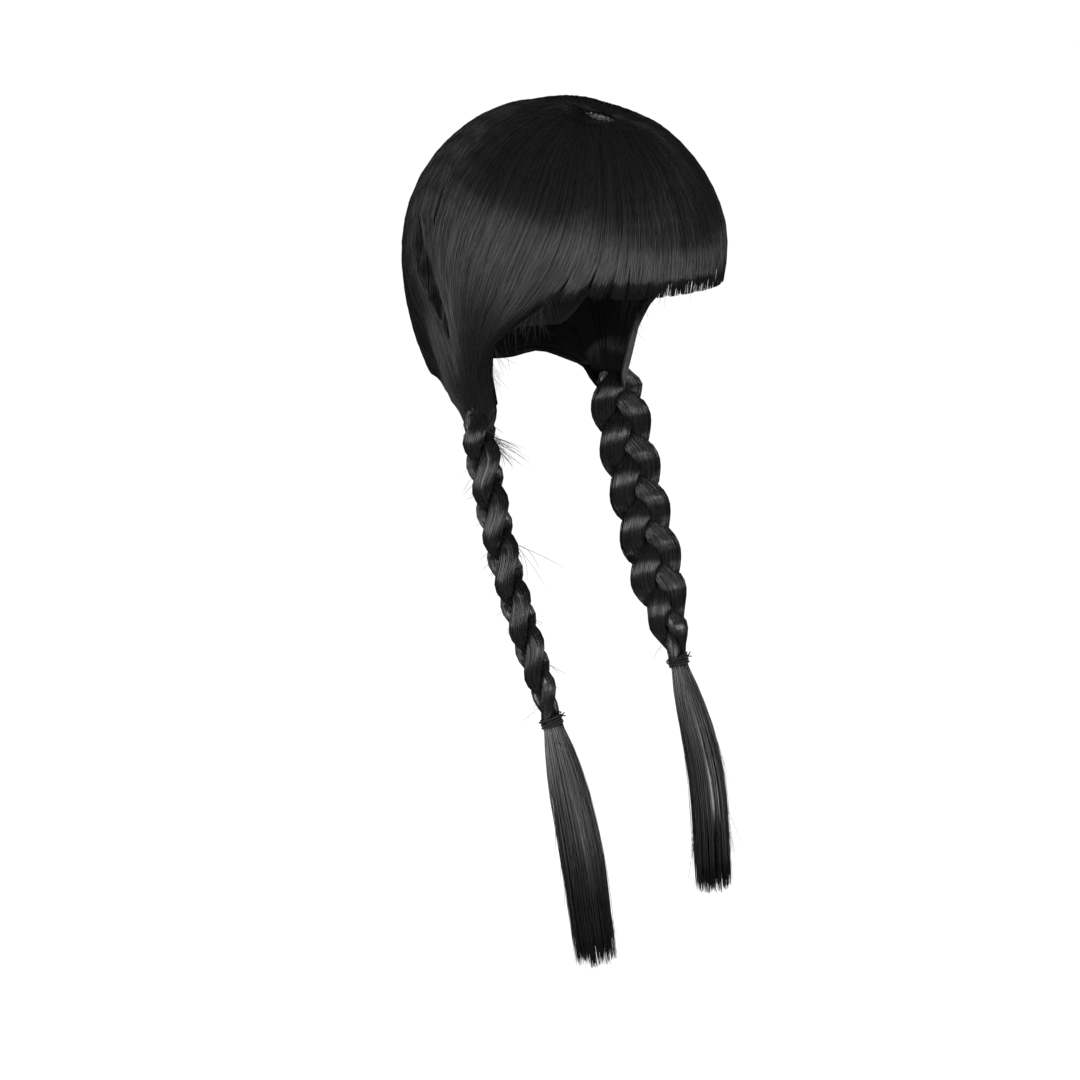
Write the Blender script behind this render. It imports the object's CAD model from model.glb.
# %% [markdown]
# # A wig with a blunt fringe and two plaits
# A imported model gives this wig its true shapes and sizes. The script dresses that model: it combs
# thousands of strands of hair over it, plaits and ties them, sews in the cap and sets up a small
# studio. Every step is a pair of cells: words on what the piece is on a real wig and how it could
# be made, then the code. Lengths are millimetres, until a mesh is made in Blender's metres.

import math
from collections import namedtuple

import bpy
import numpy as np
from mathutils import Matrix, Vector


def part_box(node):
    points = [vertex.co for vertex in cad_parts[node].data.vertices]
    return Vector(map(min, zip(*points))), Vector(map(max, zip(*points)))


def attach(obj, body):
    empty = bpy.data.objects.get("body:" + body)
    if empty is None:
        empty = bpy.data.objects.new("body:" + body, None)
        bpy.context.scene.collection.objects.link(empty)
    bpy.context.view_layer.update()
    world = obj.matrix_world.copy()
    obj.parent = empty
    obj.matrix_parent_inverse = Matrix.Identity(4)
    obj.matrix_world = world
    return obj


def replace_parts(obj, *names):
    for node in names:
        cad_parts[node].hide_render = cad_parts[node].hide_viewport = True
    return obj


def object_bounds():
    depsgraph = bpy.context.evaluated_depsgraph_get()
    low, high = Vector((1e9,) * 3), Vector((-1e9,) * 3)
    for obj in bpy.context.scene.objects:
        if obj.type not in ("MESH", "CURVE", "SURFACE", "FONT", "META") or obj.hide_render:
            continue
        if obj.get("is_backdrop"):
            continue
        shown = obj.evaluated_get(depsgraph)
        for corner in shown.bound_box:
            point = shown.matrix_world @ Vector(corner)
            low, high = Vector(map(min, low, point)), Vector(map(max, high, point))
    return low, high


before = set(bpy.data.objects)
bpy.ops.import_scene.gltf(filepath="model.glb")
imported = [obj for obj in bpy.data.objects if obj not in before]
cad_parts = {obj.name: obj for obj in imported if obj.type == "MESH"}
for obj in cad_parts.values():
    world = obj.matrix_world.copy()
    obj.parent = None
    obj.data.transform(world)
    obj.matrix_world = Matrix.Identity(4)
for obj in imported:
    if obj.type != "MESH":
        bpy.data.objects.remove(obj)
model_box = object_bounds()
MM = 0.001
print("nodes:", len(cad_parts), "height:", round((model_box[1] - model_box[0]).z, 3), "m")

# %% [markdown]
# ## The camera
# The wig is seen from its right front and from a little above, through a long lens that keeps the
# near plait from looking much bigger than the far one. A camera could be turned with three angles,
# but it is easier to read as a place on a sphere round the point that it looks at.

# %% Place the camera
LOOK_AT = Vector((0, 0.018, -0.264))
CAMERA_AZIMUTH = math.radians(-54)
CAMERA_ELEVATION = math.radians(16)
CAMERA_DISTANCE = 1.6
LENS_MM = 85.33


def on_sphere(azimuth, elevation, distance):
    level = math.cos(elevation) * distance
    return Vector((math.sin(azimuth) * level, -math.cos(azimuth) * level, math.sin(elevation) * distance))


camera = bpy.data.objects.new("camera", bpy.data.cameras.new("camera"))
bpy.context.scene.collection.objects.link(camera)
camera.data.lens = LENS_MM
camera.data.clip_end = 100
camera.location = LOOK_AT + on_sphere(CAMERA_AZIMUTH, CAMERA_ELEVATION, CAMERA_DISTANCE)
camera.rotation_euler = (LOOK_AT - camera.location).to_track_quat("-Z", "Y").to_euler()
bpy.context.scene.camera = camera
print("camera at", [round(value, 3) for value in camera.location])

# %% [markdown]
# ## The head under the hair
# Hair follows the head that it lies on, so the first thing to have is that head's form, even
# though no head is shown. It is a ball with a width, a length and three heights: seen from its
# middle, every direction meets the scalp once. Directions are given as an azimuth, with 0 at the
# face and 90 at the wearer's left ear, and as a drop from the zenith.

# %% The head's form
HEAD_HALF_WIDTH = 77
HEAD_HALF_LENGTH = 91.5
CROWN_HEIGHT = 84
CHEEK_DROP = 130
NAPE_DROP = 118
HEAD_MIDDLE = np.array([0, 0, -CROWN_HEIGHT])
CAP_THICKNESS = 1.2
WEFT_LIFT = 2
HAIR_BASE = CAP_THICKNESS + WEFT_LIFT


def unit(vectors):
    return vectors / np.maximum(np.linalg.norm(vectors, axis=-1, keepdims=True), 1e-9)


def direction(azimuth, drop):
    turn, fall = np.radians(azimuth), np.radians(drop)
    level = np.sin(fall)
    return np.stack([level * np.sin(turn), -level * np.cos(turn), np.cos(fall)], -1)


def head_radii(look):
    backwards = np.maximum(0, look[..., 1]) / np.maximum(np.hypot(look[..., 0], look[..., 1]), 1e-9)
    low = CHEEK_DROP + (NAPE_DROP - CHEEK_DROP) * backwards**2
    height = np.where(look[..., 2] > 0, CROWN_HEIGHT, low)
    wide, long = np.full_like(height, HEAD_HALF_WIDTH), np.full_like(height, HEAD_HALF_LENGTH)
    return np.stack([wide, long, height], -1)


def over_scalp(look, depth):
    reach = 1 / np.linalg.norm(look / head_radii(look), axis=-1)
    return look * (reach + depth)[..., None] + HEAD_MIDDLE


def scalp_normal(look):
    return unit(look / head_radii(look) ** 2)


def turning_point(rule, low, high):
    for _ in range(40):
        middle = (low + high) / 2
        low, high = (middle, high) if rule(middle) else (low, middle)
    return low


def drop_at_level(azimuth, level, depth):
    above = lambda drop: over_scalp(direction(azimuth, drop), np.array(depth))[2] > -level
    return turning_point(above, 20, 170)


print("the hair starts", HAIR_BASE, "mm off the scalp")

# %% [markdown]
# ## Smooth lines and tables
# Combed hair has no corners. A curve that passes through its points, and is read at any share of
# its length, can stand for a combing line on the head and for the way a plait hangs. Blender has
# such curves, but many thousand points are asked for here, and arrays answer that in a moment.

# %% Curves through points
LINE_SAMPLES = 160
LINE_SHARES = np.linspace(0, 1, LINE_SAMPLES)


def smoothstep(value, low, high):
    share = np.clip((value - low) / (high - low), 0, 1)
    return share * share * (3 - 2 * share)


def lerp(low, high, share):
    return low + (high - low) * share


def from_table(rows, column, share):
    """Reads a column of a table whose first column is a share from 0 to 1."""
    rows = np.array(rows)
    following = np.clip(np.searchsorted(rows[:, 0], share), 1, len(rows) - 1)
    low, high = rows[following - 1], rows[following]
    return lerp(low[..., column], high[..., column], smoothstep(share, low[..., 0], high[..., 0]))


def through(points, share):
    """Curves through points (number, curves, 3), each read at its own share of their spans."""
    spans = len(points) - 1
    before, after = 2 * points[0] - points[1], 2 * points[-1] - points[-2]
    chain = np.concatenate([before[None], points, after[None]])
    at = np.clip(share, 0, 1) * spans
    span = np.minimum(at.astype(int), spans - 1)
    way = (at - span)[:, None]
    curve = np.arange(points.shape[1])
    a, b, c, d = (chain[span + step, curve] for step in range(4))
    pace = [np.sqrt(np.linalg.norm(q - p, axis=1, keepdims=True)) + 1e-6 for p, q in ((a, b), (b, c), (c, d))]
    leaving = ((b - a) / pace[0] - (c - a) / (pace[0] + pace[1]) + (c - b) / pace[1]) * pace[1]
    arriving = ((c - b) / pace[1] - (d - b) / (pace[1] + pace[2]) + (d - c) / pace[2]) * pace[1]
    square = 3 * (c - b) - 2 * leaving - arriving
    return b + leaving * way + square * way**2 + (2 * (b - c) + leaving + arriving) * way**3


def even_line(points):
    """The curve through some points, as a table of points at even steps of its length."""
    points = np.array(points, float)
    fine = through(np.repeat(points[:, None], LINE_SAMPLES * 4, 1), np.linspace(0, 1, LINE_SAMPLES * 4))
    run = np.concatenate([[0], np.cumsum(np.linalg.norm(np.diff(fine, axis=0), axis=1))])
    even = np.linspace(0, run[-1], LINE_SAMPLES)
    return np.stack([np.interp(even, run, fine[:, axis]) for axis in range(3)], 1), run[-1]


def read_line(line, share):
    return np.stack([np.interp(share, LINE_SHARES, line[:, axis]) for axis in range(3)], -1)


print("a line is read from", LINE_SAMPLES, "even points")

# %% [markdown]
# ## How the hair is combed
# All the hair leaves a small patch at the crown or the parting behind. The fringe falls over the
# brow, and the rest is drawn over and behind the ears to the two plaits. It could be groomed by
# hand with guide curves, but a few combing lines for each section say the same in a short table:
# a bearing at the crown, azimuths and drops on the way, and the azimuth at the end.

# %% The combing lines
WHORL_FORWARD = 25
PATCH_RADIUS = 8.5
PATCH_THICKNESS = 1
PATCH_MARGIN = 1.5
FRINGE_DROP = 93
ROOT_DROP = 158
ROOT_OVERRUN = 5
FRINGE_NEAR = 38
FRINGE_FAR = 70
FRINGE_LINES = [(0, 0, 0, 0), (22, 14, 17, 19), (44, 28, 33, 37)]  # bearing, near, far, tip
SIDE_LINES = [  # bearing, way, end
    (62, [(40, 38), (46, 66), (52, 85), (63, 99), (77, 110), (88, 120)], 92),
    (82, [(56, 42), (63, 66), (73, 90), (84, 109), (90, 120)], 93),
    (102, [(78, 40), (84, 64), (91, 86), (95, 106), (96, 118)], 96),
    (130, [(114, 40), (117, 64), (114, 88), (107, 105), (102, 117)], 99),
]
BACK_FIRST = (165, [(133, 40), (130, 68), (122, 92), (111, 109), (104.5, 119)], 101)
BACK_LINES = [  # drop on the parting, way, end
    (6, [(149, 38), (142, 66), (131, 91), (116, 110)], 102.5),
    (27, [(161, 50), (150, 75), (137, 96), (121, 113)], 104),
    (52, [(166, 72), (152, 92), (136, 108), (120, 119)], 106),
    (79, [(168, 94), (154, 108), (137, 118), (120, 124)], 108),
    (106, [(168, 115), (153, 123), (137, 127), (122, 129)], 110.5),
    (131, [(168, 134), (153, 135.5), (138, 134.5)], 113),
]

whorl_tilt = math.degrees(math.atan(WHORL_FORWARD / CROWN_HEIGHT))
whorl = direction(0, whorl_tilt)
whorl_reach = np.linalg.norm(over_scalp(whorl, np.array(0.0)) - HEAD_MIDDLE)
ring_tilt = math.degrees((PATCH_RADIUS + PATCH_MARGIN) / (whorl_reach + HAIR_BASE))


def ring_start(bearing):
    """Where a combing line leaves the crown patch, at a bearing from straight ahead."""
    edge, turn = direction(0, whorl_tilt + ring_tilt), math.radians(bearing)
    swung = np.cross(whorl, edge) * math.sin(turn) + whorl * (whorl @ edge) * (1 - math.cos(turn))
    return edge * math.cos(turn) + swung


def line_to_root(start, way, end):
    last = direction(end, drop_at_level(end, ROOT_DROP + ROOT_OVERRUN, HAIR_BASE))
    return unit(even_line([start, *(direction(*point) for point in way), last])[0])


side_lines = [line_to_root(ring_start(bearing), way, end) for bearing, way, end in SIDE_LINES]
back_lines = [side_lines[-1], line_to_root(ring_start(BACK_FIRST[0]), *BACK_FIRST[1:])]
back_lines += [line_to_root(direction(180, drop), way, end) for drop, way, end in BACK_LINES]
over_brow = lambda share: over_scalp(read_line(side_lines[0], share), np.array(HAIR_BASE))[2] > -FRINGE_DROP
corner_share = turning_point(over_brow, 0, 1)
fringe_left = [
    unit(even_line([
        ring_start(bearing),
        direction(near, FRINGE_NEAR),
        direction(far, FRINGE_FAR),
        direction(tip, drop_at_level(tip, FRINGE_DROP, HAIR_BASE)),
    ])[0])
    for bearing, near, far, tip in FRINGE_LINES
]
fringe_left.append(read_line(side_lines[0], LINE_SHARES * corner_share))
fringe_lines = [line * (-1, 1, 1) for line in fringe_left[:0:-1]] + fringe_left
print("combing lines:", len(fringe_lines), len(side_lines), len(back_lines))

# %% [markdown]
# ## From combing lines to sections of hair
# Between the lines the hair lies as its neighbours do. A section is read at a share across, from
# one edge to the other, and a share along, from the crown down. It also has a depth over the cap:
# thin at the crown, full over the dome and drawn together thick where a plait begins.

# %% The sections
CROWN_HAIR_DEPTH = 10
FRINGE_DEPTH = 9
FRINGE_TIP_DEPTH = 3
FRINGE_RISE = 0.22
FRINGE_THINNING = 0.7
SIDE_HAIR_DEPTH = 11
BACK_HAIR_DEPTH = 7.5
GATHER_DEPTH = 14
GATHER_START = 0.7
DRAWN_RISE = 0.12
PARTING_DEPTH = 7.5
SEAM_DEPTH = 5.5

Section = namedtuple("Section", "field depth edges")


def field_between(lines, before=None, after=None):
    """Reads the way out from the head's middle at shares across some combing lines and along them.
    The lines before and after them let a strand stray a little over the section's edge."""
    before = 2 * lines[0] - lines[1] if before is None else before
    after = 2 * lines[-1] - lines[-2] if after is None else after
    lines = np.array([before, *lines, after])
    spans = len(lines) - 1

    def field(across, along):
        across, along = np.broadcast_arrays(across, along)
        stations = np.stack([read_line(line, along.ravel()) for line in lines])
        share = (across.ravel() * (spans - 2) + 1) / spans
        return unit(through(stations, share)).reshape(*across.shape, 3)

    return field


def seam_depth(along):
    """Fringe and side hair are equally deep where they meet, so that no step shows between them."""
    return lerp(CROWN_HAIR_DEPTH, SEAM_DEPTH, smoothstep(along, 0.4 * corner_share, corner_share))


def fringe_depth(across, along):
    full = lerp(CROWN_HAIR_DEPTH, FRINGE_DEPTH, smoothstep(along, 0, FRINGE_THINNING))
    thinned = np.clip((along - FRINGE_THINNING) / (1 - FRINGE_THINNING), 0, 1)
    full = lerp(full, FRINGE_TIP_DEPTH, thinned**2)
    full = lerp(full, seam_depth(along * corner_share), smoothstep(np.abs(2 * across - 1), 0.72, 1))
    rise = np.sin(math.pi / 2 * np.clip(along / FRINGE_RISE, 0, 1))
    return lerp(2 * PATCH_THICKNESS, full, rise)


def drawn_depth(full, along, start):
    rise = np.sin(math.pi / 2 * np.clip(along / DRAWN_RISE, 0, 1))
    return lerp(lerp(start, full, rise), GATHER_DEPTH, smoothstep(along, GATHER_START, 1))


def side_depth(across, along):
    full = lerp(CROWN_HAIR_DEPTH, SIDE_HAIR_DEPTH, smoothstep(along, DRAWN_RISE, GATHER_START))
    full = lerp(seam_depth(along), full, smoothstep(across, 0, 0.25))
    return drawn_depth(full, along, 2 * PATCH_THICKNESS)


def back_depth(across, along):
    """Behind the side hair the back hair lies in a hollow, beside a lock that is drawn tight."""
    full = lerp(CROWN_HAIR_DEPTH, BACK_HAIR_DEPTH, smoothstep(along, DRAWN_RISE, GATHER_START))
    full = drawn_depth(full, along, lerp(2 * PATCH_THICKNESS, PARTING_DEPTH, smoothstep(across, 0.12, 0.4)))
    lock = 0.17 - 0.5 * (along - 0.65)
    shown = smoothstep(along, 0.5, 0.62) * (1 - smoothstep(along, 0.76, 0.86))
    full = full * (1 - 0.78 * shown * (1 - smoothstep(across, lock - 0.045, lock - 0.015)))
    return full + 1.5 * shown * np.exp(-(((across - lock) / 0.022) ** 2))


def back_field(across, along, whole=field_between(back_lines, before=side_lines[-2])):
    look = whole(across, along)
    look[..., 0] = np.maximum(look[..., 0], 0)
    return unit(look)


beside = read_line(side_lines[1], LINE_SHARES * corner_share)
over_seams = dict(before=beside * (-1, 1, 1), after=beside)
# An edge rounds off over some millimetres. That begins at one share along, is full at a second one
# with a least share of the depth, and heals from a third one.
fringe_section = Section(field_between(fringe_lines, **over_seams), fringe_depth, (None, None))
side_section = Section(
    field_between(side_lines, after=back_lines[1]), side_depth,
    ((8, corner_share - 0.03, corner_share + 0.06, 0.14, 1), (5, 0.22, 0.45, 0.3, 0.68)))
back_section = Section(back_field, back_depth, ((12, 0.25, 0.45, 0.3, 0.5), (6, 0, 0.02, 0.14, 1)))


def section_width(section, along):
    edge = lambda share: over_scalp(section.field(share + 0 * along, along), 0 * along)
    return np.linalg.norm(edge(1.0) - edge(0.0), axis=-1)


def rounded(section, across, along):
    """The share of its full depth that a section has near its edges."""
    share, width = np.ones_like(across * along), section_width(section, along)
    for edge, inwards in zip(section.edges, (across, 1 - across)):
        if edge:
            reach, begin, full, least, heal = edge
            way = np.clip(inwards * width / np.minimum(reach, width / 2), 0, 1)
            curve = lerp(least, 1, np.sin(math.pi / 2 * way))
            share = share * lerp(1, curve, smoothstep(along, begin, full) * (1 - smoothstep(along, heal, heal + 0.15)))
    return share


def surface(section, across, along, offset):
    """Points of a section, some way over or under its outer face, and the way out from the head."""
    look = section.field(across, along)
    depth = section.depth(across, along) * rounded(section, across, along)
    return over_scalp(look, HAIR_BASE + np.maximum(depth + offset, 0)), scalp_normal(look)


print("the fringe ends at", round(corner_share, 2), "of the side's first combing line")

# %% [markdown]
# ## The way a plait hangs
# A plait leaves the head behind the ear, hangs down and swings forward over the shoulder. Its
# three strands each sway from edge to edge once a turn, and go in and out twice, so that each
# passes over one neighbour and under the other. Knotting simulated ropes would do it too, but two
# sine waves are exact and never tangle.

# %% The plait's line and strands
PLAIT_LENGTH = 196
PLAIT_WIDTH = 38
PLAIT_DEPTH = 20
PLAIT_TURN = 87
PLAIT_FACING = math.radians(40)
PLAIT_START = 0.4
STRAND_SWAY = 0.42
STRAND_WEAVE = 0.4
TAIL_LENGTH = 160
ROOT_AZIMUTH = 99
CLEARANCE = 0.35
HANG = [  # shares of the whole length: down, forward, outward
    (0, 0, 0), (0.03, 0, 0), (0.1, 0.012, 0), (0.28, 0.06, 0.002),
    (0.54, 0.148, -0.008), (0.74, 0.208, -0.004), (0.96, 0.238, -0.016),
]
PLAIT_FULLNESS = [  # at, width, depth
    (0, 0.66, 0.78), (0.13, 0.98, 1.06), (0.35, 0.98, 1), (0.72, 0.98, 0.94), (0.88, 0.72, 0.88), (1, 0.36, 0.62),
]

root_depth = HAIR_BASE + GATHER_DEPTH / 2
root_drop = drop_at_level(ROOT_AZIMUTH, ROOT_DROP, root_depth)
plait_root = over_scalp(direction(ROOT_AZIMUTH, root_drop), np.array(root_depth)) - (0, 0, CLEARANCE)
hang_points = [
    plait_root + np.array([outward, -forward, -down]) * (PLAIT_LENGTH + TAIL_LENGTH)
    for down, forward, outward in HANG
]
plait_line, plait_line_length = even_line(hang_points)


def plait_frame(length):
    """The left plait at a length from its root: its middle, its way down, its width and its face."""
    share = length / plait_line_length
    middle = read_line(plait_line, share) + np.minimum(length, 0)[..., None] * (0, 0, -1)
    step = 0.004
    down = unit(read_line(plait_line, np.clip(share + step, 0, 1)) - read_line(plait_line, np.clip(share - step, 0, 1)))
    face = np.array([-math.sin(PLAIT_FACING), -math.cos(PLAIT_FACING), 0]) + 0 * down
    face = unit(face - down * (face * down).sum(-1, keepdims=True))
    return middle, down, np.cross(face, down), face


def strand_middle(strand, length):
    turn = 2 * math.pi * (length / PLAIT_TURN + PLAIT_START + strand / 3)
    share = length / PLAIT_LENGTH
    sway = PLAIT_WIDTH / 2 * STRAND_SWAY * from_table(PLAIT_FULLNESS, 1, share)
    weave = PLAIT_DEPTH / 2 * STRAND_WEAVE * from_table(PLAIT_FULLNESS, 2, share)
    return np.stack([sway * np.sin(turn), weave * np.sin(2 * turn)], -1)


def strand_reach(strand, length, angle, gap):
    """From a strand's middle to its outside. It is round, but flat where another presses on it."""
    share = length / PLAIT_LENGTH
    half_width = PLAIT_WIDTH / 2 * (1 - STRAND_SWAY) * from_table(PLAIT_FULLNESS, 1, share)
    half_depth = PLAIT_DEPTH / 2 * (1 - STRAND_WEAVE) * from_table(PLAIT_FULLNESS, 2, share)
    ray = np.stack([np.cos(angle), np.sin(angle)], -1)
    tightness = 1 / np.hypot(ray[..., 0] / half_width, ray[..., 1] / half_depth) ** -6
    for step in (1, 2):
        other = strand_middle((strand + step) % 3, length) - strand_middle(strand, length)
        apart = np.linalg.norm(other, axis=-1)
        towards = np.maximum((ray * other).sum(-1) / apart, 0)
        tightness = tightness + (towards / ((apart - gap) / 2)) ** 6
    return tightness ** (-1 / 6)


print("plait and tail:", round(plait_line_length), "mm long, from", np.round(plait_root, 1))

# %% [markdown]
# ## Meshes from arrays
# A strand of hair could be a hair curve, a tube or a flat ribbon. Curves don't leave Blender as
# meshes, and flat ribbons turn invisible edge-on, so each strand is a thin three-sided body that is
# shaded smooth: light runs over it as over a round hair. One array holds thousands of them, and
# goes into one mesh at once. The map coordinates run in millimetres across and along the strand.

# %% Mesh helpers
UNLIT, DIM = -1.0, -0.38


def make_piece(name, points, quads, triangles, coordinates, shade, run, material, slot):
    """A smooth mesh in metres with its map coordinates, and each point's own shade and run."""
    mesh = bpy.data.meshes.new(name)
    corners = np.concatenate([quads.ravel(), triangles.ravel()]).astype(np.int32)
    totals = np.concatenate([np.full(len(quads), 4), np.full(len(triangles), 3)]).astype(np.int32)
    mesh.vertices.add(len(points))
    mesh.vertices.foreach_set("co", (points * MM).astype(np.float32).ravel())
    mesh.loops.add(len(corners))
    mesh.loops.foreach_set("vertex_index", corners)
    mesh.polygons.add(len(totals))
    mesh.polygons.foreach_set("loop_start", np.concatenate([[0], np.cumsum(totals)[:-1]]).astype(np.int32))
    mesh.polygons.foreach_set("use_smooth", np.ones(len(totals), bool))
    mesh.update(calc_edges=True)
    layer = mesh.uv_layers.new(name="UVMap")
    layer.data.foreach_set("uv", coordinates[corners].astype(np.float32).ravel())
    for label, values in (("shade", shade), ("run", run)):
        mesh.attributes.new(label, "FLOAT", "POINT").data.foreach_set("value", values.astype(np.float32))
    mesh.materials.append(material)
    mesh.validate()
    piece = bpy.data.objects.new(name, mesh)
    bpy.context.scene.collection.objects.link(piece)
    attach(piece, "root")
    piece["triangles"] = int(2 * len(quads) + len(triangles))
    return piece


def strand_arrays(paths, outwards, width, thickness, rng, tip=0.25, taper_from=0.75, roll=0.35, dim=False):
    """Bodies along paths (strands, steps, 3), flat towards the head and raised outwards. Each comes
    with its points, faces, map coordinates, shade and run. It hardly shines where it is dim."""
    count, steps = paths.shape[:2]
    way = unit(np.gradient(paths, axis=1))
    outwards = outwards - way * (outwards * way).sum(-1, keepdims=True)
    side = unit(np.cross(way, outwards))
    up = np.cross(side, way)
    tilt = rng.normal(0, roll, (count, 1, 1))
    side, up = side * np.cos(tilt) + up * np.sin(tilt), up * np.cos(tilt) - side * np.sin(tilt)
    run = np.linspace(0, 1, steps)[None]
    taper = lerp(1, tip, smoothstep(run, taper_from, 1) ** 0.8) * smoothstep(run, -0.04, 0.03)
    half = (width / 2 * taper + np.zeros((count, 1)))[..., None]
    high = half * 2 * thickness
    section = np.stack([paths + up * high, paths + side * half, paths - side * half], 2)
    index = np.arange(count * steps * 3).reshape(count, steps, 3)
    near, far = index[:, :-1], index[:, 1:]
    ring = lambda faces: np.roll(faces, -1, 2)
    quads = np.stack([near, ring(near), ring(far), far], -1).reshape(-1, 4)
    ends = np.concatenate([index[:, 0][:, [0, 2, 1]], index[:, -1]])
    length = np.concatenate([np.zeros((count, 1)), np.cumsum(np.linalg.norm(np.diff(paths, axis=1), axis=2), 1)], 1)
    place = rng.random((count, 1)) * 400
    across = np.stack([place + 0 * length, place + half[..., 0], place - half[..., 0]], -1)
    along = np.repeat((length + place * 3)[..., None], 3, 2)
    shade = np.where(np.broadcast_to(dim, (count, steps))[..., None], DIM, rng.random((count, 1, 1)))
    shade = np.broadcast_to(shade, across.shape)
    runs = np.broadcast_to(run[..., None], across.shape)
    flat = lambda values: values.reshape(-1)
    return section.reshape(-1, 3), quads, ends, np.stack([flat(across), flat(along)], 1), flat(shade), flat(runs)


def sheet_arrays(grid, millimetres, closed=False):
    """A body through a grid of points (rows, columns, 3). A closed grid is a tube; an open one
    comes as two sheets, the outer and the inner, that are joined round their edges, and is marked
    as unlit: it lies under thousands of strands and must never shine between them."""
    if closed:
        rows, columns = grid.shape[:2]
        index = np.arange(rows * columns).reshape(rows, columns)
        following = np.roll(index, -1, 1)
        quads = np.stack([index[:-1], following[:-1], following[1:], index[1:]], -1).reshape(-1, 4)
        fans = [np.stack([0 * line[1:-1] + line[0], line[1:-1], line[2:]], 1) for line in (index[0, ::-1], index[-1])]
        points, triangles = grid.reshape(-1, 3), np.concatenate(fans)
    else:
        _, rows, columns = grid.shape[:3]
        outer, inner = np.arange(2 * rows * columns).reshape(2, rows, columns)
        cell = lambda i: np.stack([i[:-1, :-1], i[1:, :-1], i[1:, 1:], i[:-1, 1:]], -1).reshape(-1, 4)
        rim = lambda i: np.concatenate([i[0, :-1], i[:-1, -1], i[-1, :0:-1], i[:0:-1, 0]])
        edge, under = rim(outer), rim(inner)
        sides = np.stack([edge, np.roll(edge, -1), np.roll(under, -1), under], 1)
        quads = np.concatenate([cell(outer), cell(inner)[:, ::-1], sides])
        points, triangles = grid.reshape(-1, 3), np.zeros((0, 3), int)
    corners = np.concatenate([points[quads[:, [0, 1, 2]]], points[quads[:, [0, 2, 3]]], points[triangles]])
    if np.einsum("ij,ij->i", corners[:, 0], np.cross(corners[:, 1], corners[:, 2])).sum() < 0:
        quads, triangles = quads[:, ::-1], triangles[:, ::-1]
    flat = np.zeros(len(points))
    return points, quads, triangles, millimetres.reshape(-1, 2), flat + (0.5 if closed else UNLIT), flat


def joined(*bodies):
    """Several bodies' arrays as one."""
    starts = np.cumsum([0] + [len(body[0]) for body in bodies[:-1]])
    moved = [(b[0], b[1] + start, b[2] + start, *b[3:]) for b, start in zip(bodies, starts)]
    return tuple(np.concatenate(part) for part in zip(*moved))


def on_side(side, *vectors):
    """The same on the wearer's left, with 1, or on the right, with -1."""
    return [v * np.array([side, 1, 1]) for v in vectors]


print("mesh helpers ready")

# %% [markdown]
# ## Fine detail as shared node groups
# Hair, cord, net and woven base all carry lines finer than any mesh. An image could hold them, but
# a pattern made by nodes has no seams and no limit to how close one looks. Three effects are used
# by more than one material, so each is a node group: fine lines along combed or spun fibres,
# threads that cross, and a slow unevenness such as handling leaves.

# %% Node helpers and the three shared effects
def add(tree, kind, inputs=None, **settings):
    """A node with its settings; its inputs are values or the sockets that feed them."""
    node = tree.nodes.new(kind)
    for name, value in settings.items():
        setattr(node, name, value)
    for name, value in (inputs or {}).items():
        if isinstance(value, bpy.types.NodeSocket):
            tree.links.new(value, node.inputs[name])
        else:
            node.inputs[name].default_value = value
    return node


def math_node(tree, operation, first, second=0.0):
    return add(tree, "ShaderNodeMath", {0: first, 1: second}, operation=operation).outputs[0]


def new_effect(name, inputs, outputs):
    tree = bpy.data.node_groups.new(name, "ShaderNodeTree")
    for label, value in inputs.items():
        tree.interface.new_socket(label, in_out="INPUT", socket_type="NodeSocketFloat").default_value = value
    for label in outputs:
        tree.interface.new_socket(label, in_out="OUTPUT", socket_type="NodeSocketFloat")
    return tree, tree.nodes.new("NodeGroupInput").outputs, tree.nodes.new("NodeGroupOutput").inputs


def effect_fibres():
    tree, given, result = new_effect("fibre_lines", {"Fibres per mm": 9, "Run mm": 40}, ("Height", "Tone"))
    place = add(tree, "ShaderNodeSeparateXYZ", {0: add(tree, "ShaderNodeUVMap", uv_map="UVMap").outputs[0]})
    along = math_node(tree, "DIVIDE", place.outputs[1], given["Run mm"])
    across = math_node(tree, "MULTIPLY", place.outputs[0], given["Fibres per mm"])
    for label, share in (("Height", 1.0), ("Tone", 0.16)):
        point = add(tree, "ShaderNodeCombineXYZ", {0: math_node(tree, "MULTIPLY", across, share), 1: along})
        noise = add(tree, "ShaderNodeTexNoise", {"Vector": point.outputs[0], "Scale": 1, "Detail": 2},
                    noise_dimensions="2D")
        tree.links.new(noise.outputs[0], result[label])
    return tree


def effect_threads():
    tree, given, result = new_effect("crossed_threads", {"Pitch mm": 0.8, "Slant": 1}, ("Height", "Gap"))
    place = add(tree, "ShaderNodeSeparateXYZ", {0: add(tree, "ShaderNodeUVMap", uv_map="UVMap").outputs[0]})
    slanted = math_node(tree, "MULTIPLY", place.outputs[1], given["Slant"])
    waves = []
    for way in (math_node(tree, "ADD", place.outputs[0], slanted),
                math_node(tree, "SUBTRACT", place.outputs[0], slanted)):
        turns = math_node(tree, "DIVIDE", math_node(tree, "MULTIPLY", way, math.pi), given["Pitch mm"])
        waves.append(math_node(tree, "ABSOLUTE", math_node(tree, "SINE", turns)))
    height = math_node(tree, "MAXIMUM", *waves)
    tree.links.new(height, result["Height"])
    tree.links.new(math_node(tree, "SUBTRACT", 1.0, height), result["Gap"])
    return tree


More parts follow.
